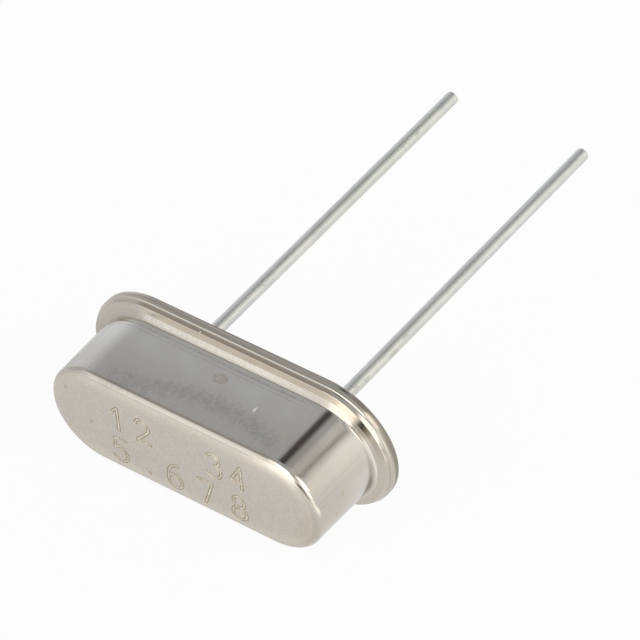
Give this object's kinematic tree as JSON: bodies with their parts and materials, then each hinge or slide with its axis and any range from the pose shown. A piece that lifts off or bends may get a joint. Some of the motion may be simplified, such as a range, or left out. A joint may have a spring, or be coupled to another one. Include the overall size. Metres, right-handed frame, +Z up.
{
  "type": "crystal oscillator",
  "caption": "Quartz crystal resonator in a low oval metal can with a welded flange and two straight wire leads, lying on its long side.",
  "frame": {"origin": "centre of the bounding box's bottom face, on the surface that the part lies on", "axes": "+X along the can's length, +Y from the can's top towards the lead tips, +Z up; the leads rise 11.2 degrees from +Y"},
  "size_m": [0.011, 0.017, 0.0052],
  "materials": {
    "can_nickel": "satin nickel plate, semi-gloss, with fine drawing marks",
    "base_nickel": "nickel plate, slightly duller at the rim",
    "seal_glass": "dark sealing glass, glossy",
    "tinned_wire": "dull hot-dipped tin, finely dimpled",
    "clip_nickel": "rolled nickel strip",
    "quartz": "lapped quartz, faintly frosted",
    "silver_film": "evaporated silver, satin",
    "silver_epoxy": "silver-filled epoxy, dull and grainy"
  },
  "bodies": {
    "root": {"can_cover": "can_nickel", "base_header": "base_nickel", "glass_seal_left": "seal_glass", "glass_seal_right": "seal_glass", "lead_left": "tinned_wire", "lead_right": "tinned_wire", "spring_clip_left": "clip_nickel", "spring_clip_right": "clip_nickel", "quartz_strip": "quartz", "electrode_front": "silver_film", "electrode_back": "silver_film", "adhesive_left": "silver_epoxy", "adhesive_right": "silver_epoxy"}
  },
  "joints": []
}
